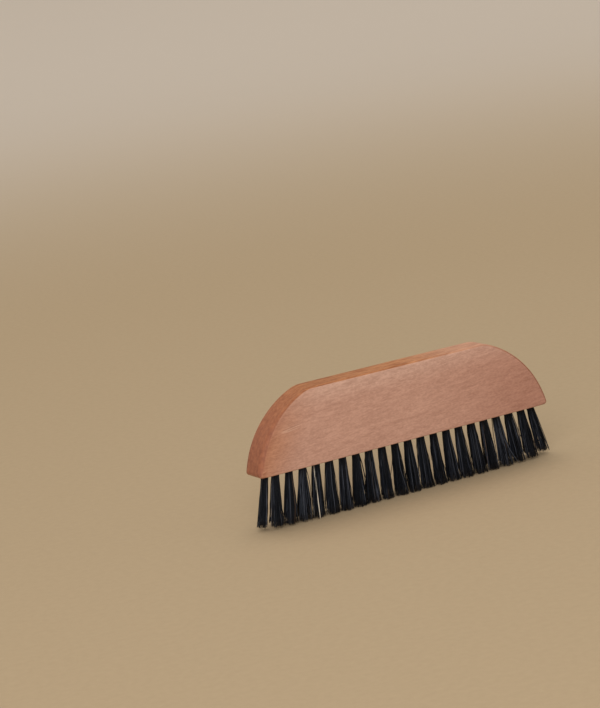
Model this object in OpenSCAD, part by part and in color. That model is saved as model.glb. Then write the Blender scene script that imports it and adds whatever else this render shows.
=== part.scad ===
// Slim wooden brush with two staggered rows of bristle tufts.
// Each tuft is folded over a flat wire anchor and driven into a blind hole in the block.
// Millimetres, +Z up. The brush stands on its bristle tips, X runs along it and its front
// face looks towards -Y. The origin lies under the middle of the bristles.

/* [Wooden block] */
// Length of the block along its underside, with the chamfer still on
block_length = 131; // [128:1:160]
// Thickness from the front face to the back face
block_thickness = 12; // [12:0.2:18]
// Height from the underside to the flat top
block_height = 29.8; // [24:0.2:36]
// Length the flat top would have if the end curves met it in sharp corners
top_length = 79.4; // [66:0.2:90]
// Radius of the large curve at each end
end_radius = 38.5; // [34:0.5:80]
// Radius that blends each end curve into the flat top
shoulder_radius = 12; // [4:0.5:14]
// Radius of the softened edges that run over the ends and the top
edge_radius = 1.2; // [0.6:0.1:2.4]
// Width of the narrow chamfer round the underside
underside_chamfer = 0.4; // [0.2:0.1:0.6]

/* [Tufts] */
// Number of tufts in each of the two rows
tufts_per_row = 20; // [8:1:20]
// Distance between neighbouring tufts in a row
tuft_pitch = 5.85; // [5.4:0.05:5.9]
// Distance between the centre lines of the two rows at the underside
row_spacing = 5.5; // [5.3:0.1:5.6]
// Step outwards from the last tuft of a row to the tuft that closes the end
end_tuft_step = 3.1; // [3:0.1:3.6]
// Free length of the bristles below the block
bristle_length = 21; // [14:0.5:24]
// Diameter of a tuft at its tips
tip_diameter = 4.7; // [3.4:0.1:4.8]
// Lean of the last tuft of a row away from the middle of the brush, in degrees
row_end_lean = 7; // [3:0.5:7]
// Lean of the two tufts that close the ends, in degrees
end_tuft_lean = 11; // [10:0.5:12]
// Lean of each row away from the centre line, in degrees
row_splay = 2; // [1.5:0.1:2]
// How much higher the tips end at the two ends than in the middle
tip_rise = 1.2; // [0:0.1:2]

/* [Holes and anchors] */
// Diameter of the drilled holes
hole_diameter = 3; // [2.6:0.1:3]
// Depth of the drilled holes
hole_depth = 8; // [6:0.5:8.5]
// Gap left around each tuft in its hole and around each anchor
fit_gap = 0.03; // [0.02:0.01:0.05]
// Length of an anchor, across the hole and into the wood on both sides
anchor_length = 4.2; // [3.6:0.1:4.4]
// Height of an anchor, along the hole
anchor_height = 1.4; // [1:0.1:1.8]
// Thickness of the anchor wire
anchor_thickness = 0.4; // [0.3:0.05:0.5]
// Depth of bristle that folds over the inner edge of an anchor
fold_height = 0.9; // [0.6:0.1:1.2]

/* [Hidden] */
$fn = 48;
outline_fn = 144; // facets of the block's curves
edge_steps = 4; // facets across each softened edge
spare = 2; // length that cutting shapes have over
skin = 0.01; // thickness of the plate that spans the underside

wood_colour = "#b4805f";
bristle_colour = "#1d1f26";
anchor_colour = "#b9bcc0";

half_thickness = block_thickness / 2;
row_middle = (tufts_per_row - 1) / 2;
row_reach = (row_middle + 1 / 4) * tuft_pitch;
end_tuft_x = row_reach + end_tuft_step;
root_diameter = hole_diameter - 2 * fit_gap;
flare = (tip_diameter - root_diameter) / bristle_length;
anchor_middle = hole_depth - fold_height - anchor_height / 2;

// The end curve runs through the lower and the upper corner of the block's side view.
lower_corner = [block_length / 2, 0];
upper_corner = [top_length / 2, block_height];
chord = upper_corner - lower_corner;
chord_normal = [-chord.y, chord.x] / norm(chord);
end_centre = (lower_corner + upper_corner) / 2
    + chord_normal * sqrt(pow(end_radius, 2) - pow(norm(chord) / 2, 2));

// The shoulder arc touches the flat top and the end curve from inside.
arc_gap = end_radius - shoulder_radius;
shoulder_y = block_height - shoulder_radius;
shoulder_x = end_centre.x + sqrt(pow(arc_gap, 2) - pow(shoulder_y - end_centre.y, 2));
shoulder_touch_y = end_centre.y + (shoulder_y - end_centre.y) * end_radius / arc_gap;

// A tuft is [x, y, lean along the brush, lean across it]. A side is -1 or 1.
function row_tuft(side, i) =
    let (x = (i - row_middle + side / 4) * tuft_pitch)
    [x, side * row_spacing / 2, row_end_lean * x / row_reach, side * row_splay];
function row_of_tufts(side) = [for (i = [0 : tufts_per_row - 1]) row_tuft(side, i)];
function end_tuft(side) = [side * end_tuft_x, 0, side * end_tuft_lean, 0];

function numbered(prefix, n) = str(prefix, n < 10 ? "0" : "", n);
function row_of_names(prefix) = [for (n = [1 : tufts_per_row]) numbered(prefix, n)];

// Height of the trimmed tips, which curve up towards the two ends.
function tip_height(x) = tip_rise * pow(x / end_tuft_x, 4);

TUFT_GROUPS = [row_of_tufts(-1), row_of_tufts(1), [end_tuft(-1), end_tuft(1)]];
ANCHOR_NAMES = ["anchors_front", "anchors_rear", "anchors_ends"];

TUFTS = [for (group = TUFT_GROUPS) each group];
TUFT_NAMES = concat(
    row_of_names("tuft_front_"),
    row_of_names("tuft_rear_"),
    ["tuft_left_end", "tuft_right_end"]
);

// Puts its children in a tuft's own frame: zero at the hole's mouth, +Z into the wood.
module at_tuft(tuft) {
    translate([tuft[0], tuft[1], bristle_length])
        rotate([tuft[3], -tuft[2], 0])
            children();
}

// Flat wire that lies along the block, across the hole. The gap is added on every side.
module anchor_strip(gap = 0) {
    translate([0, 0, anchor_middle])
        cube(
            [anchor_length + 2 * gap, anchor_thickness + 2 * gap, anchor_height + 2 * gap],
            center = true
        );
}

// One slab of the block, with its side view shrunk by inset at the ends and the top.
module block_slab(inset, half_width) {
    rotate([90, 0, 0])
        linear_extrude(height = 2 * half_width, center = true)
            for (side = [-1, 1]) {
                translate([side * shoulder_x, shoulder_y])
                    circle(r = shoulder_radius - inset, $fn = outline_fn);
                intersection() {
                    translate([side * end_centre.x, end_centre.y])
                        circle(r = end_radius - inset, $fn = outline_fn);
                    translate([-block_length / 2, underside_chamfer])
                        square([block_length, shoulder_touch_y - underside_chamfer]);
                }
            }
}

// The flat of the underside, inside its chamfer and with the corners rounded like the ends.
module underside() {
    linear_extrude(height = skin)
        offset(r = edge_radius - underside_chamfer)
            square(
                [block_length - 2 * edge_radius, block_thickness - 2 * edge_radius],
                center = true
            );
}

module solid_block() {
    translate([0, 0, bristle_length])
        hull() {
            underside();
            for (angle = [0 : 90 / edge_steps : 90])
                block_slab(
                    inset = edge_radius * (1 - cos(angle)),
                    half_width = half_thickness - edge_radius * (1 - sin(angle))
                );
        }
}

module wooden_block() {
    color(wood_colour)
        difference() {
            solid_block();
            for (tuft = TUFTS)
                at_tuft(tuft) {
                    translate([0, 0, -spare])
                        cylinder(d = hole_diameter, h = hole_depth + spare);
                    anchor_strip(fit_gap);
                }
        }
}

// Bundle of bristles: a straight root in the hole, and a flare below it that is trimmed level.
module tuft(tuft) {
    color(bristle_colour)
        intersection() {
            at_tuft(tuft)
                difference() {
                    union() {
                        cylinder(d = root_diameter, h = hole_depth - fit_gap);
                        mirror([0, 0, 1])
                            cylinder(
                                d1 = root_diameter,
                                d2 = tip_diameter + spare * flare,
                                h = bristle_length + spare
                            );
                    }
                    anchor_strip(fit_gap);
                }
            translate([-block_length, -block_thickness, tip_height(tuft[0])])
                cube([2 * block_length, 2 * block_thickness, bristle_length + hole_depth]);
        }
}

module anchors(tufts) {
    color(anchor_colour)
        for (tuft = tufts)
            at_tuft(tuft)
                anchor_strip();
}

wooden_block();
for (i = [0 : len(TUFTS) - 1])
    tuft(TUFTS[i]);
for (i = [0 : len(TUFT_GROUPS) - 1])
    anchors(TUFT_GROUPS[i]);
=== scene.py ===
"""Beard brush: a pear-wood block with two staggered rows of black bristle tufts.

Everything is in metres in the CAD frame: X runs along the brush, its front face looks towards -Y,
and it stands on its bristle tips at z = 0.
"""

import math

import bmesh
import bpy
import numpy as np
from mathutils import Matrix, Vector, noise


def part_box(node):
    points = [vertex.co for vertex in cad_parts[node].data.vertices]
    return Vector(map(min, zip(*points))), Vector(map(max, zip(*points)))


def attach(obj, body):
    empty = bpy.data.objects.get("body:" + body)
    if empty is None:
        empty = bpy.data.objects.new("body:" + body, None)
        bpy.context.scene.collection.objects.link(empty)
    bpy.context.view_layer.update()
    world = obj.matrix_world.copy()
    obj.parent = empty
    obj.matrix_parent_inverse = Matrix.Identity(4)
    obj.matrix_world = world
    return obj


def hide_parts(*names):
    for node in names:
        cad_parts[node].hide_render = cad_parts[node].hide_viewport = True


MM = 0.001
BODY = "root"

# The camera, turned and placed about the middle of the block's underside
CAMERA_YAW = math.radians(27.05)
CAMERA_ELEVATION = math.radians(10.82)
CAMERA_ROLL = math.radians(-8.09)
CAMERA_OFFSET = Vector((-39.01, 32.81, 967.45)) * MM
CAMERA_LENS = 126.73
SENSOR_WIDTH = 36.0

# The block's outline. Its length, height and thickness come from the CAD node.
TOP_LENGTH = 79.4 * MM
END_RADIUS = 38.5 * MM
SHOULDER_RADIUS = 12.0 * MM
CORNER_RADIUS = 1.2 * MM
OUTLINE_STEP = 0.9 * MM
CORNER_STEPS = 6
# Radius of the softened edges, which are crisp along the underside. The front one is softer
# low on the left end. The face falls away a little towards the top.
ARRIS_RADIUS = 1.1 * MM
CRISP_RADIUS = 0.4 * MM
SOFT_HEIGHTS = (1.2 * MM, 3.6 * MM, 13.0 * MM, 22.0 * MM, 30.0 * MM)
SOFT_RADII = (1.1 * MM, 2.3 * MM, 2.0 * MM, 1.3 * MM, 1.1 * MM)
CRISP_AFTER = 4.0 * MM
FACE_CROWNS = (0.03 * MM, 0.28 * MM)
ARRIS_STEPS = 8
RIM_STEPS = 8
FACE_RINGS = (0.04, 0.12, 0.25, 0.45, 0.7)
SPINE_HALF = 42.0 * MM
SPINE_HEIGHT = 0.42
SANDING_DEPTH = 0.035 * MM
SANDING_SIZE = 11.0 * MM
SHARP_ANGLE = math.radians(40)

# The drilled holes
HOLE_RADIUS = 1.5 * MM
HOLE_DEPTH = 8.0 * MM
HOLE_SIDES = 32
MOUTH_CHAMFER = 0.12 * MM
NOTCH_MERGE = 0.001 * MM

# How far in from each end of a CAD tuft its outline is read
TIP_SLICE = 0.05 * MM
ROOT_SLICE = 0.65 * MM

# The bristles. Each is folded over the anchor, so that it has two legs.
FOLDED_PER_TUFT = 56
BRISTLE_RADIUS = 0.125 * MM
TIP_TAPER = 0.62
TUBE_SIDES = 5
ROOT_RADIUS = 1.34 * MM
ANCHOR_CLEARANCE = 0.34 * MM
ANCHOR_LOW = 5.5 * MM
ANCHOR_TOP = 7.25 * MM
FOLD_RISE = 0.5 * MM
FOLD_SHARES = (0.12, 0.5, 0.88)
GOLDEN_ANGLE = math.pi * (3 - math.sqrt(5))
LEG_STEPS = np.array([1.0, 0.86, 0.68, 0.48, 0.28, 0.12, 0.0])
FLARE_POWER = 1.25
LOCKS_PER_SIDE = 6
LOCK_SPREAD = 1.1
LOCK_PULL = (0.1, 0.75)
STRAY_SHARE = 0.06
# The share of bristles that are blue-grey, as painted sheen streaks
SHEEN_STREAK_SHARE = 0.16
# How irregular the tufts and legs are: how far a tuft spreads each way and flares, how thick a
# bristle is, the scatter of the tips and the strays' tips, the bow, the ripple, and how much
# shorter than level a leg can be
TUFT_SPREAD = (0.95, 1.15)
ROW_SPREAD = (1.06, 0.92)
TUFT_FLARE = (1.1, 1.28)
WIDTH_SPREAD = (0.85, 1.12)
TIP_SCATTER = 0.15 * MM
STRAY_SCATTER = 0.9 * MM
BOW = 0.19 * MM
RIPPLE = 0.065 * MM
SHORTFALL = 0.38 * MM
# How much of a bristle's tone comes from its lock and how much is its own, and the tones of the
# blue-grey bristles that are painted sheen streaks, and of the strays
LOCK_TONE = 0.32
OWN_TONE = 0.28
SHEEN_STREAK_TONES = (0.65, 0.84)
STRAY_TONES = (0.3, 0.95)
# The one pale bristle, with where it leaves its hole and where it ends in the tuft's frame
PALE_TUFT = "tuft_front_04"
PALE_ROOT = np.array([-1.25, -0.45]) * MM
PALE_TIP = np.array([-1.2, -2.5]) * MM
PALE_WIDTH = 2.3

# The stage: a flat disc, then a cove that curves up to a wall
STAGE_RADII = (0.02, 0.2, 1.0, 1.9)
COVE_RADIUS = 1.6
COVE_STEPS = 12
STAGE_SIDES = 96

# The lights
LIGHT_TARGET = (0.0, 0.0, 0.03)
OVERHEAD_PLACE = (0.4, 0.7, 2.6)
OVERHEAD_SIZE = 2.0
OVERHEAD_POWER = 36.0
FRONT_PLACE = (-0.9, -1.3, 0.8)
FRONT_SIZE = 1.1
FRONT_POWER = 20.0
WARM_WHITE = (1.0, 0.98, 0.95)
SOFT_WHITE = (1.0, 0.98, 0.98)
SURROUND_STRENGTH = 0.55

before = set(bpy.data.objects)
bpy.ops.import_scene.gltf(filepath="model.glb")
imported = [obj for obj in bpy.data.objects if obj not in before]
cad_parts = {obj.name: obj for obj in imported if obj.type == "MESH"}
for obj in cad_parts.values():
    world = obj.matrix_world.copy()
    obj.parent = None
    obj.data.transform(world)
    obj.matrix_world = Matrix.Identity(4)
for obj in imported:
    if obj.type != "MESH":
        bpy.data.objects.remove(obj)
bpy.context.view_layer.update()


# ---------------------------------------------------------------- material nodes


def add_node(tree, kind, settings=None, **inputs):
    """A node with its settings, and its inputs set or linked by name."""
    made = tree.nodes.new(kind)
    for name, value in (settings or {}).items():
        setattr(made, name, value)
    for name, value in inputs.items():
        connect(tree, made.inputs[name.replace("_", " ")], value)
    return made


def connect(tree, socket, value):
    """Links a socket to another one, or sets its value."""
    if isinstance(value, bpy.types.NodeSocket):
        tree.links.new(value, socket)
    else:
        socket.default_value = value


def math_node(tree, operation, first, second=0.0, clamp=False):
    made = add_node(tree, "ShaderNodeMath", {"operation": operation, "use_clamp": clamp})
    connect(tree, made.inputs[0], first)
    connect(tree, made.inputs[1], second)
    return made.outputs[0]


def mix_colours(tree, factor, first, second, blend="MIX"):
    """One colour fading into another. A colour is a socket or three numbers."""
    made = add_node(tree, "ShaderNodeMix", {"data_type": "RGBA", "blend_type": blend})
    connect(tree, made.inputs[0], factor)
    for socket, colour in zip((made.inputs[6], made.inputs[7]), (first, second)):
        connect(tree, socket, (*colour, 1.0) if isinstance(colour, tuple) else colour)
    return made.outputs[2]


def weighted_sum(tree, *terms):
    """The sum of values, each times its weight."""
    total = 0.0
    for value, weight in terms:
        total = math_node(tree, "ADD", total, math_node(tree, "MULTIPLY", value, weight))
    return total


def remap(tree, value, low, high, new_low=0.0, new_high=1.0):
    """The value moved from one range to another, smoothly and clamped."""
    made = add_node(tree, "ShaderNodeMapRange", {"interpolation_type": "SMOOTHSTEP"})
    for socket, setting in zip(made.inputs, (value, low, high, new_low, new_high)):
        connect(tree, socket, setting)
    return made.outputs[0]


def stretched_noise(tree, coordinates, scale, detail=4.0, turn=(0, 0, 0), warp=0.0):
    """Noise whose scale says how many features there are in a millimetre along each axis."""
    place = add_node(
        tree,
        "ShaderNodeMapping",
        {"vector_type": "TEXTURE"},
        Vector=coordinates,
        Rotation=turn,
        Scale=tuple(MM / s for s in scale),
    )
    made = add_node(
        tree,
        "ShaderNodeTexNoise",
        Vector=place.outputs[0],
        Scale=1.0,
        Detail=detail,
        Roughness=0.6,
        Distortion=warp,
    )
    return made.outputs[0]


def colour_ramp(tree, value, stops):
    """Colours at places from 0 to 1."""
    made = add_node(tree, "ShaderNodeValToRGB", Fac=value)
    elements = made.color_ramp.elements
    while len(elements) < len(stops):
        elements.new(0.5)
    for element, (place, colour) in zip(elements, stops):
        element.position = place
        element.color = (*colour, 1.0)
    return made.outputs[0]


def tint(tree, colour, share, tinted):
    """The colour multiplied by a tint, as far as the share goes."""
    return mix_colours(tree, share, colour, tinted, "MULTIPLY")


def attribute(tree, name):
    return add_node(tree, "ShaderNodeAttribute", {"attribute_name": name}).outputs["Fac"]


def new_material(name):
    """A material with its node tree, its shader and the object's own coordinates."""
    material = bpy.data.materials.new(name)
    material.use_nodes = True
    tree = material.node_tree
    shader = tree.nodes["Principled BSDF"]
    coordinates = add_node(tree, "ShaderNodeTexCoord").outputs["Object"]
    return material, tree, shader, coordinates


def add_bump(tree, shader, height, distance, strength=1.0):
    bump = add_node(tree, "ShaderNodeBump", Height=height, Distance=distance, Strength=strength)
    tree.links.new(bump.outputs[0], shader.inputs["Normal"])


# ---------------------------------------------------------------- materials

GRAIN_TURN = (0.0, math.radians(-3), math.radians(1.5))
SCRATCH_TURN = (0.0, math.radians(-7.5), 0.0)
FIGURE_TURN = (0.0, math.radians(-27), 0.0)
SCRATCH_PLACE = Vector((-49.3, -6.0, 37.5)) * MM
SCRATCH_SIZE = Vector((5.5, 8.0, 2.2)) * MM

GRAIN_WEIGHTS = (
    ("streaks", 0.32),
    ("mottle", 0.28),
    ("fibres", 0.16),
    ("figure", 0.10),
    ("bands", 0.08),
    ("blotches", 0.06),
)
RELIEF_WEIGHTS = (
    ("mottle", 0.4),
    ("fibres", 0.4),
    ("streaks", 0.5),
    ("figure", 0.4),
)
# The range that noise mostly keeps to, and the narrower one of the grain's weighted sum
NOISE_RANGE = (0.3, 0.7)
GRAIN_RANGE = (0.345, 0.655)
FACE_DARK = (0.440, 0.260, 0.194)
FACE_LIGHT = (0.660, 0.424, 0.330)
TOP_DARK = (0.270, 0.094, 0.030)
TOP_LIGHT = (0.480, 0.208, 0.084)
END_DARK = (0.235, 0.085, 0.050)
END_LIGHT = (0.345, 0.132, 0.070)
PORE_COLOUR = (0.300, 0.135, 0.085)
PORE_RANGE = (0.60, 0.74)
PORE_SHARE = 0.35
SCRATCH_COLOUR = (0.780, 0.540, 0.420)
SCRATCH_RANGE = (0.52, 0.60)
SCRATCH_SHARE = 0.28
# From how the surface is turned: how far towards the end it has to face to show end grain, where
# the edges' colour starts and is full at the top and at the ends, and where the underside begins
ENDWISE_RANGE = (0.1, 0.7)
EDGE_FULL = (0.72, 0.88)
EDGE_START = 0.992
UNDERSIDE_RANGE = (-0.35, -0.05)
# Tints of the wood and of painted light, with the places between which each fades in or out:
# heights over the tips, or places along the brush. A slope says how X and Z add up to the place.
# Painted sheen: the face is darkened below its upper strip, so that the strip looks lit
BELOW_PAINTED_SHEEN = (0.885, 0.815, 0.788)
BELOW_PAINTED_SHEEN_HEIGHTS = (41.0 * MM, 50.0 * MM)
# Darker towards the right and the lower right: partly the wood's tone, partly painted shade where the
# light falls off
RIGHT_TONE_AND_SHADE = (0.90, 0.83, 0.81)
RIGHT_TONE_AND_SHADE_PLACES = (0.0, 62.0 * MM)
LOW_RIGHT_TONE_AND_SHADE = (0.91, 0.88, 0.87)
LOW_RIGHT_TONE_AND_SHADE_SLOPE = (1.0, -1.0)
LOW_RIGHT_TONE_AND_SHADE_PLACES = (0.0, 30.0 * MM)
BESIDE_END = (0.90, 0.75, 0.60)
BESIDE_END_SLOPE = (-0.86, 0.51)
BESIDE_END_PLACES = (53.0 * MM, 68.0 * MM)
BESIDE_END_HEIGHTS = (30.0 * MM, 50.0 * MM)
# Painted shade, a darkening tint along the curved edge of the left end. END_CENTRE is about where
# that curve has its middle, and the shade grows with the distance from it.
END_EDGE_PAINTED_SHADE = (0.88, 0.82, 0.81)
END_CENTRE = Vector((-27.9, 0.0, 14.4)) * MM
END_SHADE_DISTANCES = (END_RADIUS - 4.5 * MM, END_RADIUS - 1.6 * MM)
END_SHADE_PLACES = (-40.0 * MM, -30.0 * MM)
END_SHADE_HEIGHTS = (36.0 * MM, 46.0 * MM)
# The golden top is darker on the left and paler on the right, partly the wood's tone and partly
# painted light
TOP_LEFT_TONE_AND_SHADE = (0.81, 0.74, 0.66)
TOP_LEFT_TONE_AND_SHADE_PLACES = (-40.0 * MM, 15.0 * MM)
PALE_TOP_TONE_AND_LIGHT_SHARE = 0.45
PALE_TOP_TONE_AND_LIGHT_PLACES = (0.0, 40.0 * MM)

# Bristle colours by tone. Tones from 0.65 to 0.84 are the blue-grey painted sheen streaks.
BRISTLE_TONES = (
    (0.00, (0.001, 0.0015, 0.003)),
    (0.40, (0.004, 0.005, 0.008)),
    (0.60, (0.014, 0.017, 0.026)),
    (0.84, (0.070, 0.078, 0.100)),
    (0.88, (0.040, 0.026, 0.018)),
    (0.94, (0.130, 0.080, 0.050)),
    (1.00, (0.600, 0.540, 0.440)),
)
ROOT_SHADE = (0.001, 0.001, 0.002)
ROOT_SHADE_SHARE = 0.75
# Lighter bristle tips: partly worn ends, partly a painted glint
WORN_TIP_AND_GLINT = (0.090, 0.080, 0.075)
WORN_AND_GLINT_SHARE = 0.2
STEEL_DARK = (0.42, 0.43, 0.44)
STEEL_LIGHT = (0.62, 0.62, 0.63)
PAPER_DARK = (0.345, 0.258, 0.158)
PAPER_LIGHT = (0.398, 0.300, 0.186)
PAPER_FAR = (0.620, 0.545, 0.460)
PAPER_FAR_DISTANCES = (0.5, 2.4)


def wood_grain(tree, coordinates):
    """Wavy streaks, fibres, growth bands, blotches, curly figure and mottle, each from 0 to 1."""
    return {
        "streaks": stretched_noise(tree, coordinates, (0.14, 0.8, 1.0), 5.0, GRAIN_TURN, 0.8),
        "fibres": stretched_noise(tree, coordinates, (0.6, 3.0, 3.6), 2.0, GRAIN_TURN),
        "bands": stretched_noise(tree, coordinates, (0.012, 0.10, 0.15), 2.0, GRAIN_TURN),
        "blotches": stretched_noise(tree, coordinates, (0.05, 0.06, 0.09), 3.0),
        "figure": stretched_noise(tree, coordinates, (0.10, 0.4, 0.5), 3.0, FIGURE_TURN, 0.6),
        "mottle": stretched_noise(tree, coordinates, (0.9, 1.3, 1.6), 4.0),
    }


def sloping_place(tree, place, slope):
    """X and Z added up by their slopes."""
    return weighted_sum(tree, (place["X"], slope[0]), (place["Z"], slope[1]))


def end_edge_shade_share(tree, place):
    """How much painted shade a place gets near the curved edge of the left end, less so high up."""
    flat_place = add_node(tree, "ShaderNodeCombineXYZ", X=place["X"], Z=place["Z"])
    from_centre = add_node(tree, "ShaderNodeVectorMath", {"operation": "DISTANCE"})
    connect(tree, from_centre.inputs[0], flat_place.outputs[0])
    connect(tree, from_centre.inputs[1], END_CENTRE)
    near = remap(tree, from_centre.outputs["Value"], *END_SHADE_DISTANCES)
    near = math_node(tree, "MULTIPLY", near, remap(tree, place["X"], *END_SHADE_PLACES, 1.0, 0.0))
    return math_node(tree, "MULTIPLY", near, remap(tree, place["Z"], *END_SHADE_HEIGHTS, 1.0, 0.5))


def face_colour(tree, place, mixed):
    """Pinkish tan with a painted sheen along the upper edge, darker on the right partly by painted
    shade, golden beside the left end, with painted shade along that end's curved edge.
    """
    colour = mix_colours(tree, mixed, FACE_DARK, FACE_LIGHT)
    # Painted sheen: darker below the upper strip of the face
    low = remap(tree, place["Z"], *BELOW_PAINTED_SHEEN_HEIGHTS, 1.0, 0.0)
    colour = tint(tree, colour, low, BELOW_PAINTED_SHEEN)
    # Partly the wood's tone, partly painted shade: darker towards the right and the lower right
    right = remap(tree, place["X"], *RIGHT_TONE_AND_SHADE_PLACES)
    colour = tint(tree, colour, right, RIGHT_TONE_AND_SHADE)
    low_right_tone_and_shade = sloping_place(tree, place, LOW_RIGHT_TONE_AND_SHADE_SLOPE)
    low_right_tone_and_shade = remap(tree, low_right_tone_and_shade, *LOW_RIGHT_TONE_AND_SHADE_PLACES)
    colour = tint(tree, colour, low_right_tone_and_shade, LOW_RIGHT_TONE_AND_SHADE)
    beside_end = sloping_place(tree, place, BESIDE_END_SLOPE)
    beside_end = remap(tree, beside_end, *BESIDE_END_PLACES)
    lower_down = remap(tree, place["Z"], *BESIDE_END_HEIGHTS, 1.0, 0.3)
    beside_end = math_node(tree, "MULTIPLY", beside_end, lower_down)
    colour = tint(tree, colour, beside_end, BESIDE_END)
    # Painted shade along the curved edge of the left end
    return tint(tree, colour, end_edge_shade_share(tree, place), END_EDGE_PAINTED_SHADE)


def top_colour(tree, place, grain, face):
    """Golden brown, darker on the left and closer to the face's colour on the right: partly the
    wood's tone, partly painted light.
    """
    streaks = remap(tree, grain["streaks"], *NOISE_RANGE)
    golden = mix_colours(tree, streaks, TOP_DARK, TOP_LIGHT)
    # Partly the wood's tone, partly painted light and shade along the top
    left = remap(tree, place["X"], *TOP_LEFT_TONE_AND_SHADE_PLACES, 1.0, 0.0)
    golden = tint(tree, golden, left, TOP_LEFT_TONE_AND_SHADE)
    pale = remap(tree, place["X"], *PALE_TOP_TONE_AND_LIGHT_PLACES, 0.0, PALE_TOP_TONE_AND_LIGHT_SHARE)
    return mix_colours(tree, pale, golden, face)


def end_grain_colour(tree, coordinates):
    """Red-brown with fine speckles."""
    speckle = stretched_noise(tree, coordinates, (0.7, 0.7, 0.5), 5.0)
    return mix_colours(tree, remap(tree, speckle, *NOISE_RANGE), END_DARK, END_LIGHT)


def wood_colour(tree, coordinates, grain, facing):
    """The faces' colour, the golden top, the red-brown ends, and the rounded edges between."""
    mixed = weighted_sum(tree, *((grain[name], weight) for name, weight in GRAIN_WEIGHTS))
    mixed = remap(tree, mixed, *GRAIN_RANGE)
    place = add_node(tree, "ShaderNodeSeparateXYZ", Vector=coordinates).outputs
    face = face_colour(tree, place, mixed)
    golden = top_colour(tree, place, grain, face)
    end_grain = end_grain_colour(tree, coordinates)
    sideways = math_node(tree, "ABSOLUTE", facing["X"])
    upwards = math_node(tree, "ABSOLUTE", facing["Z"])
    both = math_node(tree, "ADD", math_node(tree, "ADD", sideways, upwards), 0.01)
    endwise = remap(tree, math_node(tree, "DIVIDE", sideways, both), *ENDWISE_RANGE)
    side = mix_colours(tree, endwise, golden, end_grain)
    flatness = math_node(tree, "ABSOLUTE", facing["Y"])
    full = remap(tree, endwise, 0.0, 1.0, *EDGE_FULL)
    rounded = remap(tree, flatness, full, EDGE_START, 1.0, 0.0)
    not_below = remap(tree, facing["Z"], *UNDERSIDE_RANGE)
    rounded = math_node(tree, "MULTIPLY", rounded, not_below)
    return mix_colours(tree, rounded, face, side)


def scratch_share(tree, coordinates):
    """A small group of fine scratches on the front face."""
    place = add_node(
        tree,
        "ShaderNodeMapping",
        {"vector_type": "TEXTURE"},
        Vector=coordinates,
        Location=SCRATCH_PLACE,
        Rotation=SCRATCH_TURN,
        Scale=SCRATCH_SIZE,
    )
    distance = add_node(tree, "ShaderNodeVectorMath", {"operation": "LENGTH"})
    connect(tree, distance.inputs[0], place.outputs[0])
    inside = remap(tree, distance.outputs["Value"], 0.5, 1.0, 1.0, 0.0)
    lines = stretched_noise(tree, place.outputs[0], (0.0003, 0.001, 0.0035), 0.0)
    return math_node(tree, "MULTIPLY", remap(tree, lines, *SCRATCH_RANGE), inside)


def wood_material():
    """Oiled pear wood: fine grain along X, short pores, a few scratches and a satin polish."""
    material, tree, shader, coordinates = new_material("oiled_pear_wood")
    grain = wood_grain(tree, coordinates)
    normal = add_node(tree, "ShaderNodeNewGeometry").outputs["Normal"]
    facing = add_node(tree, "ShaderNodeSeparateXYZ", Vector=normal).outputs

    pore_field = stretched_noise(tree, coordinates, (0.35, 7.0, 7.0), 2.0, GRAIN_TURN)
    pores = remap(tree, pore_field, *PORE_RANGE, 0.0, PORE_SHARE)
    scratches = scratch_share(tree, coordinates)

    colour = wood_colour(tree, coordinates, grain, facing)
    colour = mix_colours(tree, pores, colour, PORE_COLOUR)
    pale = math_node(tree, "MULTIPLY", scratches, SCRATCH_SHARE)
    colour = mix_colours(tree, pale, colour, SCRATCH_COLOUR)
    tree.links.new(colour, shader.inputs["Base Color"])

    polish = remap(tree, grain["streaks"], *NOISE_RANGE, 0.58, 0.46)
    roughness = math_node(tree, "ADD", polish, math_node(tree, "MULTIPLY", pores, 0.3))
    tree.links.new(roughness, shader.inputs["Roughness"])
    shader.inputs["Specular IOR Level"].default_value = 0.15

    relief = weighted_sum(
        tree,
        *((grain[name], weight) for name, weight in RELIEF_WEIGHTS),
        (pores, -1.0),
        (scratches, -2.0),
    )
    add_bump(tree, shader, relief, 0.05 * MM, 0.5)
    return material


def bristle_material():
    """Black bristle with a cool sheen. The tone attribute picks black, blue-grey painted sheen, brown
    or pale. Tips are lighter by wear and a painted glint, roots darker by painted shade.
    """
    material, tree, shader, coordinates = new_material("black_bristle")
    along = attribute(tree, "along")
    patches = stretched_noise(tree, coordinates, (2.0, 2.0, 0.35), 3.0)
    colour = colour_ramp(tree, attribute(tree, "tone"), BRISTLE_TONES)
    shade = remap(tree, along, 0.0, 0.3, ROOT_SHADE_SHARE, 0.0)
    colour = mix_colours(tree, shade, colour, ROOT_SHADE)
    # Lighter tips: partly wear, partly a painted glint
    worn_and_glint = math_node(tree, "MULTIPLY", remap(tree, along, 0.8, 1.0), WORN_AND_GLINT_SHARE)
    worn_and_glint = math_node(tree, "MULTIPLY", worn_and_glint, remap(tree, patches, 0.35, 0.65))
    colour = mix_colours(tree, worn_and_glint, colour, WORN_TIP_AND_GLINT)
    tree.links.new(colour, shader.inputs["Base Color"])
    tree.links.new(remap(tree, patches, *NOISE_RANGE, 0.30, 0.45), shader.inputs["Roughness"])
    shader.inputs["Specular IOR Level"].default_value = 0.25
    shader.inputs["Specular Tint"].default_value = (0.75, 0.86, 1.0, 1.0)
    add_bump(tree, shader, patches, 0.01 * MM, 0.5)
    return material


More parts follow.
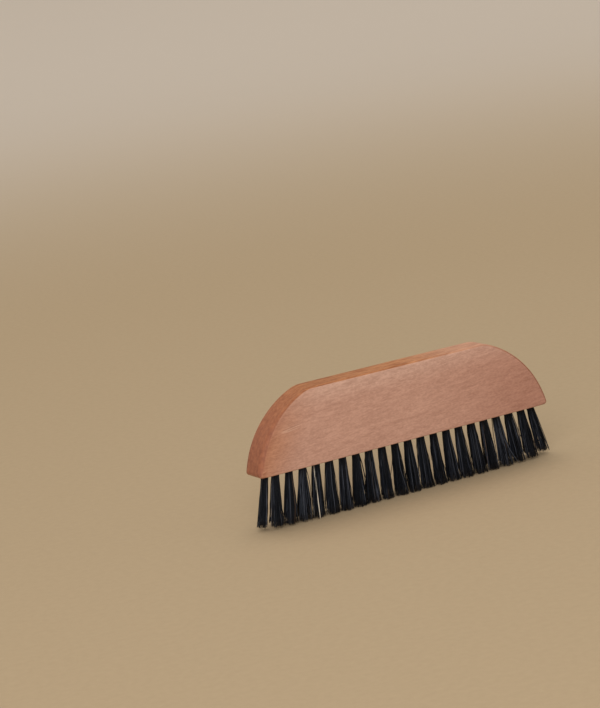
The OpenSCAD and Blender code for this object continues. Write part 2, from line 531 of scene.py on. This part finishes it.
def steel_material():
    """Drawn flat wire: fine lines along its length."""
    material, tree, shader, coordinates = new_material("drawn_steel_wire")
    lines = stretched_noise(tree, coordinates, (0.3, 14.0, 14.0), 4.0)
    colour = mix_colours(tree, remap(tree, lines, *NOISE_RANGE), STEEL_DARK, STEEL_LIGHT)
    tree.links.new(colour, shader.inputs["Base Color"])
    tree.links.new(remap(tree, lines, *NOISE_RANGE, 0.45, 0.28), shader.inputs["Roughness"])
    shader.inputs["Metallic"].default_value = 1.0
    add_bump(tree, shader, lines, 0.01 * MM, 0.6)
    return material


def stage_material():
    """Matt pale paper, warmer near the brush than far away."""
    material, tree, shader, coordinates = new_material("pale_paper")
    fibres = stretched_noise(tree, coordinates, (0.35, 0.35, 0.35), 5.0)
    near = mix_colours(tree, fibres, PAPER_DARK, PAPER_LIGHT)
    distance = add_node(tree, "ShaderNodeVectorMath", {"operation": "LENGTH"})
    tree.links.new(coordinates, distance.inputs[0])
    away = remap(tree, distance.outputs["Value"], *PAPER_FAR_DISTANCES)
    colour = mix_colours(tree, away, near, PAPER_FAR)
    tree.links.new(colour, shader.inputs["Base Color"])
    shader.inputs["Roughness"].default_value = 0.9
    shader.inputs["Specular IOR Level"].default_value = 0.1
    return material


# ---------------------------------------------------------------- pieces


def new_piece(name, mesh, material):
    """An object with its mesh in the CAD frame and one material."""
    piece = bpy.data.objects.new(name, mesh)
    bpy.context.scene.collection.objects.link(piece)
    mesh.materials.clear()
    mesh.materials.append(material)
    return piece


def add_attribute(mesh, name, values):
    made = mesh.attributes.new(name, "FLOAT", "POINT")
    made.data.foreach_set("value", np.asarray(values, np.float32).ravel())


def arc_points(centre, radius, start, end, steps):
    """Points and outward normals on an arc in the XZ plane."""
    angles = np.linspace(start, end, steps + 1)
    normals = np.stack([np.cos(angles), np.sin(angles)], axis=1)
    return np.array(centre) + radius * normals, normals


def line_points(start, end, normal):
    """Points between two ends, without the ends themselves."""
    steps = math.ceil(np.linalg.norm(end - start) / OUTLINE_STEP)
    shares = np.arange(1, steps)[:, None] / steps
    return start + shares * (end - start), np.repeat([normal], steps - 1, axis=0)


def arc_steps(radius, start, end):
    return math.ceil(radius * abs(end - start) / OUTLINE_STEP)


def right_side(low, high):
    """The arcs of the outline's right side, from the underside up to the flat top."""
    height = high.z - low.z
    lower, upper = np.array([high.x, 0.0]), np.array([TOP_LENGTH / 2, height])
    chord = upper - lower
    reach = np.linalg.norm(chord)
    across = np.array([-chord[1], chord[0]]) / reach
    end_centre = (lower + upper) / 2 + across * math.sqrt(END_RADIUS**2 - (reach / 2) ** 2)

    def inside_end(radius, y):
        gap = END_RADIUS - radius
        return np.array([end_centre[0] + math.sqrt(gap**2 - (y - end_centre[1]) ** 2), y])

    corner = inside_end(CORNER_RADIUS, CORNER_RADIUS)
    shoulder = inside_end(SHOULDER_RADIUS, height - SHOULDER_RADIUS)
    corner_angle = math.atan2(*(corner - end_centre)[::-1])
    shoulder_angle = math.atan2(*(shoulder - end_centre)[::-1])
    shift = np.array([0.0, low.z])
    arcs = (
        (corner, CORNER_RADIUS, -math.pi / 2, corner_angle, CORNER_STEPS),
        (end_centre, END_RADIUS, corner_angle, shoulder_angle, None),
        (shoulder, SHOULDER_RADIUS, shoulder_angle, math.pi / 2, None),
    )
    points, normals = [], []
    for centre, radius, start, end, steps in arcs:
        steps = steps or arc_steps(radius, start, end)
        arc, out = arc_points(centre + shift, radius, start, end, steps)
        skip = 1 if points else 0
        points.append(arc[skip:])
        normals.append(out[skip:])
    return np.concatenate(points), np.concatenate(normals)


def block_outline(low, high):
    """The closed outline of the block's side view, with outward normals."""
    right, right_out = right_side(low, high)
    flip = np.array([-1.0, 1.0])
    left, left_out = (right * flip)[::-1], (right_out * flip)[::-1]
    top, top_out = line_points(right[-1], left[0], (0.0, 1.0))
    bottom, bottom_out = line_points(left[-1], right[0], (0.0, -1.0))
    points = np.concatenate([right, top, left, bottom])
    return points, np.concatenate([right_out, top_out, left_out, bottom_out])


def arris_radii(points, low, high, soft):
    """The radius of one face's softened edge at every point of the outline."""
    heights = points[:, 1] - low.z
    radii = np.full(len(points), ARRIS_RADIUS)
    if soft:
        left = points[:, 0] < 0
        radii[left] = np.interp(heights[left], SOFT_HEIGHTS, SOFT_RADII)
    inwards = high.x - np.abs(points[:, 0])
    crisp = np.clip(inwards / CRISP_AFTER, 0, 1) * (heights < CORNER_RADIUS)
    return radii + crisp * (CRISP_RADIUS - radii)


def face_rings(points, normals, low, high, soft):
    """Rings with their depths from the middle of a face to the outer edge of its arris."""
    half = (high.y - low.y) / 2
    radii = arris_radii(points, low, high, soft)
    crowns = np.interp(points[:, 1], (low.z, high.z), FACE_CROWNS)
    spine = np.stack(
        [
            np.clip(points[:, 0], -SPINE_HALF, SPINE_HALF),
            np.full(len(points), low.z + SPINE_HEIGHT * (high.z - low.z)),
        ],
        axis=1,
    )
    edge = points - normals * radii[:, None]
    rings = []
    for share in reversed(FACE_RINGS):
        flat = edge + share * (spine - edge)
        rings.append((flat, half - crowns * (1 - share) ** 4))
    for angle in np.linspace(0, math.pi / 2, ARRIS_STEPS + 1):
        flat = points - normals * (radii * (1 - math.sin(angle)))[:, None]
        rings.append((flat, half - crowns - radii * (1 - math.cos(angle))))
    return rings


def block_rings(points, normals, low, high):
    """Closed rings from the middle of the front face, round the edges, to that of the rear."""
    front = [(flat, -depth) for flat, depth in face_rings(points, normals, low, high, True)]
    rear = face_rings(points, normals, low, high, False)
    front_depth, rear_depth = front[-1][1], rear[-1][1]
    rim = []
    for share in np.linspace(0, 1, RIM_STEPS + 1)[1:-1]:
        rim.append((points, front_depth + share * (rear_depth - front_depth)))
    return front + rim + rear[::-1]


def sanded(point):
    """The point moved inwards a little, as hand sanding leaves a surface."""
    wave = noise.noise(point / SANDING_SIZE) * 0.5 + 0.5
    middle = Vector((point.x * 0.8, 0.0, point.z))
    return point + (middle - point).normalized() * wave * SANDING_DEPTH


def block_shell():
    """The block's outer shape as a closed mesh."""
    low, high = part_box("wooden_block")
    points, normals = block_outline(low, high)
    rings = block_rings(points, normals, low, high)
    count = len(points)
    vertices = []
    for flat, depth in rings:
        for (x, z), y in zip(flat, depth):
            vertices.append(sanded(Vector((x, y, z))))
    faces = [list(range(count))]
    for ring in range(len(rings) - 1):
        for i in range(count):
            j = (i + 1) % count
            here, there = ring * count, (ring + 1) * count
            faces.append((here + i, there + i, there + j, here + j))
    last = (len(rings) - 1) * count
    faces.append(list(range(last, last + count))[::-1])
    mesh = bpy.data.meshes.new("wooden_block")
    mesh.from_pydata(vertices, [], faces)
    split_large_faces(mesh)
    return mesh


def split_large_faces(mesh):
    """Splits the faces that have more than four sides into triangles."""
    shape = bmesh.new()
    shape.from_mesh(mesh)
    large = [face for face in shape.faces if len(face.verts) > 4]
    bmesh.ops.triangulate(shape, faces=large, ngon_method="BEAUTY")
    shape.to_mesh(mesh)
    shape.free()


def tuft_frame(name):
    """A CAD tuft's own frame, which is zero at the hole's mouth with +Z into the wood, the height
    of the mouth over the tips, and the radius at the tips."""
    corners = np.array([v.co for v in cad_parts[name].data.vertices])
    low, high = corners.min(0), corners.max(0)
    tip_ring = corners[corners[:, 2] < low[2] + TIP_SLICE]
    root_ring = corners[corners[:, 2] > high[2] - ROOT_SLICE]
    tip = Vector((tip_ring.min(0) + tip_ring.max(0)) / 2)
    root = Vector((root_ring.min(0) + root_ring.max(0)) / 2)
    tip.z = low[2]
    into_wood = (root - tip).normalized()
    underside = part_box("wooden_block")[0].z
    mouth = tip + into_wood * ((underside - tip.z) / into_wood.z)
    sideways = Vector((0, 1, 0)).cross(into_wood).normalized()
    across = into_wood.cross(sideways)
    axes = Matrix((sideways, across, into_wood)).transposed().to_4x4()
    radius = (tip_ring[:, 1].max() - tip_ring[:, 1].min()) / 2
    return Matrix.Translation(mouth) @ axes, mouth.z - tip.z, radius


def hole_cutter(mesh, place):
    """Adds a drill shape with a chamfered mouth to the cutter's mesh."""
    profile = (
        (HOLE_RADIUS + 2 * MOUTH_CHAMFER, -MOUTH_CHAMFER),
        (HOLE_RADIUS, MOUTH_CHAMFER),
        (HOLE_RADIUS, HOLE_DEPTH),
    )
    rings = []
    for radius, height in profile:
        ring = []
        for i in range(HOLE_SIDES):
            angle = 2 * math.pi * i / HOLE_SIDES
            spot = Vector((radius * math.cos(angle), radius * math.sin(angle), height))
            ring.append(mesh.verts.new(place @ spot))
        rings.append(ring)
    mesh.faces.new(rings[0][::-1])
    mesh.faces.new(rings[-1])
    for lower, upper in zip(rings, rings[1:]):
        for i in range(HOLE_SIDES):
            j = (i + 1) % HOLE_SIDES
            mesh.faces.new((lower[i], lower[j], upper[j], upper[i]))


def cutter_object(name, shapes):
    """A temporary object made of a bmesh's shapes."""
    mesh = bpy.data.meshes.new(name)
    shapes.to_mesh(mesh)
    shapes.free()
    cutter = bpy.data.objects.new(name, mesh)
    bpy.context.scene.collection.objects.link(cutter)
    return cutter


def drill_cutter(tufts):
    """The shapes of all the drilled holes."""
    shapes = bmesh.new()
    for place, _drop, _radius in tufts.values():
        hole_cutter(shapes, place)
    return cutter_object("drill_cutter", shapes)


def notch_cutter(anchors):
    """The notches that the anchors press into the wood."""
    shapes = bmesh.new()
    for anchor in anchors:
        shapes.from_mesh(anchor.data)
    bmesh.ops.remove_doubles(shapes, verts=shapes.verts, dist=NOTCH_MERGE)
    return cutter_object("notch_cutter", shapes)


def cut(piece, cutters):
    """Takes the cutters' shapes out of the piece's mesh, and removes the cutters."""
    for cutter in cutters:
        modifier = piece.modifiers.new(cutter.name, "BOOLEAN")
        modifier.operation = "DIFFERENCE"
        modifier.solver = "EXACT"
        modifier.object = cutter
    bpy.context.view_layer.update()
    graph = bpy.context.evaluated_depsgraph_get()
    piece.data = bpy.data.meshes.new_from_object(
        piece.evaluated_get(graph), preserve_all_data_layers=True, depsgraph=graph
    )
    piece.modifiers.clear()
    for cutter in cutters:
        bpy.data.objects.remove(cutter)


def make_block(tufts, anchors, material):
    """The drilled and notched block."""
    block = new_piece("block_pear_wood", block_shell(), material)
    cut(block, [drill_cutter(tufts), notch_cutter(anchors)])
    block.data.materials.clear()
    block.data.materials.append(material)
    block.data.shade_smooth()
    block.data.set_sharp_from_angle(angle=SHARP_ANGLE)
    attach(block, BODY)
    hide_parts("wooden_block")


# ---------------------------------------------------------------- bristles


def root_spots(rng):
    """Where the legs leave the hole, packed evenly, as matching pairs on both sides of the anchor."""
    count = 2 * FOLDED_PER_TUFT
    order = np.arange(count) + 0.5
    angle = order * GOLDEN_ANGLE + rng.uniform(0, 2 * math.pi)
    radius = ROOT_RADIUS * np.sqrt(order / count)
    spots = np.stack([radius * np.cos(angle), radius * np.sin(angle)], axis=1)
    spots = spots[np.argsort(spots[:, 1])]
    below, above = spots[:FOLDED_PER_TUFT], spots[FOLDED_PER_TUFT:]
    below = below[np.argsort(below[:, 0])]
    above = above[np.argsort(above[:, 0])]
    return below, above


def tip_spots(rng, roots, flare):
    """Where the legs end: spread out, drawn together into a few locks, and a little ragged.
    Also the lock that each leg belongs to."""
    stretch = rng.uniform(*TUFT_SPREAD, 2) * ROW_SPREAD
    tips = roots * flare * stretch
    locks = tips[rng.choice(len(tips), LOCKS_PER_SIDE, replace=False)] * LOCK_SPREAD
    nearest = ((tips[:, None] - locks[None]) ** 2).sum(2).argmin(1)
    pull = rng.uniform(*LOCK_PULL, (len(tips), 1))
    tips = tips + pull * (locks[nearest] - tips)
    return tips + rng.normal(0, TIP_SCATTER, tips.shape), nearest


def legs(rng, roots, flare, drop, level):
    """Points of the legs on one side, from the tips up to the anchor, in the tuft's frame.
    Also the lock that each leg belongs to, and whether it strays."""
    count = len(roots)
    tips, locks = tip_spots(rng, roots, flare)
    stray = rng.uniform(0, 1, (count, 1)) < STRAY_SHARE
    tips = tips + stray * rng.normal(0, STRAY_SCATTER, (count, 2))
    bow = rng.normal(0, BOW, (count, 2)) * (1 + 2 * stray)
    ripple = rng.normal(0, RIPPLE, (count, len(LEG_STEPS), 2)) * (1 + stray[:, None])
    ends = (drop + tips @ level[:2]) / level[2] - np.abs(rng.normal(0, SHORTFALL, count))
    points = np.zeros((count, len(LEG_STEPS) + 1, 3))
    for i, step in enumerate(LEG_STEPS):
        flat = roots + step**FLARE_POWER * (tips - roots) + bow * math.sin(math.pi * step)
        points[:, i, :2] = flat + ripple[:, i] * min(step * 3, 1)
        points[:, i, 2] = -step * ends
    squeezed = ANCHOR_CLEARANCE + np.abs(roots[:, 1]) * (1 - ANCHOR_CLEARANCE / ROOT_RADIUS)
    points[:, -1, 0] = roots[:, 0]
    points[:, -1, 1] = np.sign(roots[:, 1]) * squeezed
    points[:, -1, 2] = ANCHOR_LOW
    return points, locks, stray[:, 0]


def folds(below, above):
    """The three points of each fold, over the anchor's inner edge."""
    points = np.zeros((len(below), 3, 3))
    for i, share in enumerate(FOLD_SHARES):
        points[:, i] = below + share * (above - below)
        points[:, i, 2] = ANCHOR_TOP
    outer = np.abs(below[:, 1]) / ROOT_RADIUS
    points[:, 1, 2] += FOLD_RISE * np.clip(outer, 0.1, 1)
    return points


def tubes(paths, radii):
    """Vertices and faces of closed tubes along paths of equal numbers of points."""
    count, rings, _ = paths.shape
    along = np.gradient(paths, axis=1)
    along /= np.linalg.norm(along, axis=2, keepdims=True)
    sideways = np.array([1.0, 0.0, 0.0]) - along[:, :, :1] * along
    sideways /= np.linalg.norm(sideways, axis=2, keepdims=True)
    across = np.cross(along, sideways)
    angles = np.linspace(0, 2 * math.pi, TUBE_SIDES, endpoint=False)
    vertices = (
        paths[:, :, None]
        + radii[:, :, None, None] * np.cos(angles)[:, None] * sideways[:, :, None]
        + radii[:, :, None, None] * np.sin(angles)[:, None] * across[:, :, None]
    )
    faces = []
    for tube in range(count):
        start = tube * rings * TUBE_SIDES
        for ring in range(rings - 1):
            here = start + ring * TUBE_SIDES
            for i in range(TUBE_SIDES):
                j = (i + 1) % TUBE_SIDES
                faces.append((here + i, here + j, here + TUBE_SIDES + j, here + TUBE_SIDES + i))
        end = start + (rings - 1) * TUBE_SIDES
        faces.append(tuple(range(start, start + TUBE_SIDES))[::-1])
        faces.append(tuple(range(end, end + TUBE_SIDES)))
    return vertices.reshape(-1, 3), faces


def bristle_tones(rng, locks, stray):
    """Mostly black, greyer in some locks, with single blue-grey bristles as painted sheen streaks,
    and brown strays.
    """
    lock_tones = rng.uniform(0, 1, LOCKS_PER_SIDE)
    tones = LOCK_TONE * lock_tones[locks] + OWN_TONE * rng.uniform(0, 1, len(locks))
    # Painted sheen: single blue-grey bristles stand in for highlight streaks
    sheen_streaks = rng.uniform(0, 1, len(locks)) < SHEEN_STREAK_SHARE
    tones[sheen_streaks] = rng.uniform(*SHEEN_STREAK_TONES, sheen_streaks.sum())
    tones[stray] = rng.uniform(*STRAY_TONES, stray.sum())
    return tones


def make_tuft(name, seed, tuft, material):
    """One tuft's bristles, in place of its CAD solid. Its seed sets how they lie."""
    place, drop, tip_radius = tuft
    level = np.array(place)[2, :3]
    rng = np.random.default_rng(seed)
    flare = tip_radius / HOLE_RADIUS * rng.uniform(*TUFT_FLARE)
    below, above = root_spots(rng)
    lower, locks, stray = legs(rng, below, flare, drop, level)
    upper, _locks, _stray = legs(rng, above, flare, drop, level)
    tones = bristle_tones(rng, locks, stray)
    widths = BRISTLE_RADIUS * rng.uniform(*WIDTH_SPREAD, FOLDED_PER_TUFT)
    if name == PALE_TUFT:
        pale = ((below - PALE_ROOT) ** 2).sum(1).argmin()
        lower[pale, :-1, :2] = PALE_ROOT + LEG_STEPS[:, None] * (PALE_TIP - PALE_ROOT)
        tones[pale] = 1.0
        widths[pale] = PALE_WIDTH * BRISTLE_RADIUS
    paths = np.concatenate([lower, folds(lower[:, -1], upper[:, -1]), upper[:, ::-1]], axis=1)
    leg_share = np.append(LEG_STEPS, 0.0)
    share = np.concatenate([leg_share, np.zeros(3), leg_share[::-1]])
    vertices, faces = tubes(paths, widths[:, None] * (1 - (1 - TIP_TAPER) * share**3))
    vertices = vertices @ np.array(place.to_3x3()).T + np.array(place.translation)
    vertices[:, 2] = np.maximum(vertices[:, 2], 0.0)
    mesh = bpy.data.meshes.new(name)
    mesh.from_pydata(vertices.tolist(), [], faces)
    add_attribute(mesh, "tone", np.repeat(tones, len(share) * TUBE_SIDES))
    add_attribute(mesh, "along", np.tile(np.repeat(share, TUBE_SIDES), FOLDED_PER_TUFT))
    mesh.shade_smooth()
    piece = new_piece("bristles" + name.removeprefix("tuft"), mesh, material)
    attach(piece, BODY)
    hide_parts(name)


# ---------------------------------------------------------------- stage, light and camera


def make_stage(material):
    """One pale sheet: flat round the brush, and curving up far away on every side."""
    profile = [(radius, 0.0) for radius in STAGE_RADII]
    for i in range(1, COVE_STEPS + 1):
        angle = math.pi / 2 * i / COVE_STEPS
        out = STAGE_RADII[-1] + COVE_RADIUS * math.sin(angle)
        profile.append((out, COVE_RADIUS * (1 - math.cos(angle))))
    vertices, faces = [], []
    for radius, height in profile:
        for i in range(STAGE_SIDES):
            angle = 2 * math.pi * i / STAGE_SIDES
            vertices.append((radius * math.cos(angle), radius * math.sin(angle), height))
    faces.append(list(range(STAGE_SIDES)))
    for ring in range(len(profile) - 1):
        for i in range(STAGE_SIDES):
            j = (i + 1) % STAGE_SIDES
            here, there = ring * STAGE_SIDES, (ring + 1) * STAGE_SIDES
            faces.append((here + i, there + i, there + j, here + j))
    mesh = bpy.data.meshes.new("stage")
    mesh.from_pydata(vertices, [], faces)
    mesh.shade_smooth()
    new_piece("stage", mesh, material)


def soft_light(name, place, size, power, colour):
    """A square area light that is aimed at the brush."""
    light = bpy.data.lights.new(name, "AREA")
    light.shape = "SQUARE"
    light.size = size
    light.energy = power
    light.color = colour
    lamp = bpy.data.objects.new(name, light)
    bpy.context.scene.collection.objects.link(lamp)
    lamp.location = place
    lamp.rotation_mode = "QUATERNION"
    aim = Vector(LIGHT_TARGET) - Vector(place)
    lamp.rotation_quaternion = aim.to_track_quat("-Z", "Y")


def make_light():
    """A wide soft light overhead, a gentler one in front, and an even surround."""
    soft_light("overhead", OVERHEAD_PLACE, OVERHEAD_SIZE, OVERHEAD_POWER, WARM_WHITE)
    soft_light("front", FRONT_PLACE, FRONT_SIZE, FRONT_POWER, SOFT_WHITE)
    world = bpy.data.worlds.new("surround")
    world.use_nodes = True
    background = world.node_tree.nodes["Background"]
    background.inputs["Color"].default_value = (*WARM_WHITE, 1.0)
    background.inputs["Strength"].default_value = SURROUND_STRENGTH
    bpy.context.scene.world = world
    bpy.context.scene.view_settings.view_transform = "Standard"


def make_camera():
    """The camera that matches the photograph's view of the brush."""
    camera = bpy.data.objects.new("camera", bpy.data.cameras.new("camera"))
    bpy.context.scene.collection.objects.link(camera)
    turn = (
        Matrix.Rotation(-CAMERA_YAW, 3, "Z")
        @ Matrix.Rotation(math.pi / 2 - CAMERA_ELEVATION, 3, "X")
        @ Matrix.Rotation(CAMERA_ROLL, 3, "Z")
    )
    low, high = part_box("wooden_block")
    middle = Vector(((low.x + high.x) / 2, (low.y + high.y) / 2, low.z))
    camera.matrix_world = Matrix.Translation(middle + turn @ CAMERA_OFFSET) @ turn.to_4x4()
    camera.data.lens = CAMERA_LENS
    camera.data.sensor_width = SENSOR_WIDTH
    bpy.context.scene.camera = camera


def dress_anchors(material):
    """The CAD anchors stay, with drawn wire for their finish."""
    anchors = [o for name, o in sorted(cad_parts.items()) if name.startswith("anchors")]
    for anchor in anchors:
        anchor.data.materials.clear()
        anchor.data.materials.append(material)
    return anchors


make_camera()
make_light()
make_stage(stage_material())
tuft_names = sorted(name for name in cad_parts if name.startswith("tuft"))
tufts = {name: tuft_frame(name) for name in tuft_names}
anchors = dress_anchors(steel_material())
make_block(tufts, anchors, wood_material())
black_bristle = bristle_material()
for seed, (name, tuft) in enumerate(tufts.items()):
    make_tuft(name, seed, tuft, black_bristle)
